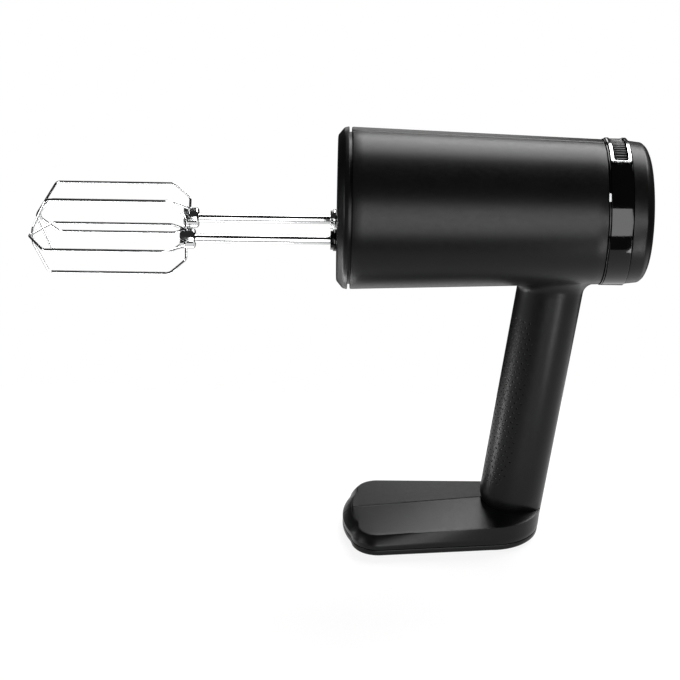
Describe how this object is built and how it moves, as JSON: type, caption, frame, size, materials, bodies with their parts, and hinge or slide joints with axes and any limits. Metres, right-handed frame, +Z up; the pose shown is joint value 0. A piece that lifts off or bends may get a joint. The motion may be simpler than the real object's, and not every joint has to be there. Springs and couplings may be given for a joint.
{
  "type": "hand mixer",
  "caption": "Cordless pistol-grip hand mixer standing on its foot, with wire beaters pointing forward, a ribbed speed dial and a rear eject button.",
  "frame": {"origin": "centre of the foot, on the underside of its rubber pad", "axes": "-X forward along the beaters, +Z up, -Y the left side of the mixer"},
  "size_m": [0.3684, 0.0968, 0.2639],
  "materials": {
    "soft_black": "soft-touch matt moulding",
    "gloss_black": "high gloss",
    "chrome": "polished",
    "marker_white": "satin inlay",
    "dial_black": "fine ribbed moulding",
    "pad_rubber": "matt anti-slip pad",
    "steel": "machined, zinc plated",
    "can_steel": "drawn can, zinc plated",
    "bronze": "sintered, oiled",
    "acetal": "natural acetal",
    "dark_nylon": "glass-filled nylon",
    "fan_plastic": "moulded nylon",
    "copper": "enamelled copper windings on a laminated core",
    "board_green": "solder-masked circuit board",
    "cell_sleeve": "shrink-sleeved cell",
    "socket_metal": "plated shell"
  },
  "bodies": {
    "housing": {"left_housing": "soft_black", "right_housing": "soft_black", "front_cap": "soft_black", "rear_cap": "soft_black", "bottom_plate": "soft_black", "rear_band": "gloss_black", "window_frame": "chrome", "trim_ring": "gloss_black", "speed_marker": "marker_white", "foot_pad": "pad_rubber", "case_screw_1": "steel", "case_screw_2": "steel", "case_screw_3": "steel", "base_screw_1": "steel", "base_screw_2": "steel", "base_screw_3": "steel", "base_screw_4": "steel", "idler_axle": "steel", "motor_bearing_front": "steel", "motor_bearing_rear": "steel", "motor_screw_1": "steel", "motor_screw_2": "steel", "eject_spring": "steel", "contact_lower": "steel", "contact_upper": "steel", "motor_can": "can_steel", "front_bush_left": "bronze", "front_bush_right": "bronze", "rear_bush_left": "bronze", "rear_bush_right": "bronze", "gear_plate_front": "dark_nylon", "gear_plate_rear": "dark_nylon", "motor_end_bell": "dark_nylon", "rear_bulkhead": "dark_nylon", "control_board": "board_green", "charge_board": "board_green", "cell_lower": "cell_sleeve", "cell_upper": "cell_sleeve", "charge_socket": "socket_metal"},
    "spindle_left_body": {"spindle_left": "steel", "spindle_gear_left": "acetal"},
    "spindle_right_body": {"spindle_right": "steel", "spindle_gear_right": "acetal"},
    "beater_left": {"beater_shaft_left": "chrome", "beater_outer_loop_left": "chrome", "beater_inner_loop_left": "chrome", "beater_collar_left": "gloss_black"},
    "beater_right": {"beater_shaft_right": "chrome", "beater_outer_loop_right": "chrome", "beater_inner_loop_right": "chrome", "beater_collar_right": "chrome"},
    "idler": {"idler_gear": "acetal"},
    "rotor": {"motor_shaft": "steel", "armature": "copper", "motor_fan": "fan_plastic", "motor_pinion": "steel"},
    "dial": {"speed_dial": "dial_black"},
    "ejector": {"eject_button": "soft_black", "eject_yoke": "acetal"}
  },
  "joints": [
    {"name": "spindle_right_spin", "type": "hinge", "parent": "housing", "child": "spindle_right_body", "pos_m": [0, 0.0175, 0.2015], "axis": [1, 0, 0], "continuous": true},
    {"name": "spindle_left_spin", "type": "hinge", "parent": "housing", "child": "spindle_left_body", "pos_m": [0, -0.0175, 0.2015], "axis": [1, 0, 0], "continuous": true},
    {"name": "idler_spin", "type": "hinge", "parent": "housing", "child": "idler", "pos_m": [0, 0.0199, 0.22488], "axis": [1, 0, 0], "continuous": true},
    {"name": "rotor_spin", "type": "hinge", "parent": "housing", "child": "rotor", "pos_m": [0, 0, 0.2155], "axis": [1, 0, 0], "continuous": true},
    {"name": "eject_press", "type": "slide", "parent": "housing", "child": "ejector", "axis": [-1, 0, 0], "range_m": [0, 0.005], "stiffness_N_per_m": 400, "springref_m": -0.005, "deforming": ["eject_spring"]},
    {"name": "beater_left_eject", "type": "slide", "parent": "spindle_left_body", "child": "beater_left", "axis": [-1, 0, 0], "range_m": [0, 0.005]},
    {"name": "beater_right_eject", "type": "slide", "parent": "spindle_right_body", "child": "beater_right", "axis": [-1, 0, 0], "range_m": [0, 0.005]},
    {"name": "speed_dial_turn", "type": "hinge", "parent": "housing", "child": "dial", "pos_m": [0.0955, 0, 0.2155], "axis": [1, 0, 0], "range_deg": [0, 50]}
  ],
  "couplings": [
    {"joint": "spindle_left_spin", "follows": "spindle_right_spin", "ratio": -1},
    {"joint": "idler_spin", "follows": "spindle_right_spin", "ratio": -2.9167},
    {"joint": "rotor_spin", "follows": "spindle_right_spin", "ratio": 11.667},
    {"joint": "beater_left_eject", "follows": "eject_press", "ratio": 1},
    {"joint": "beater_right_eject", "follows": "eject_press", "ratio": 1}
  ]
}
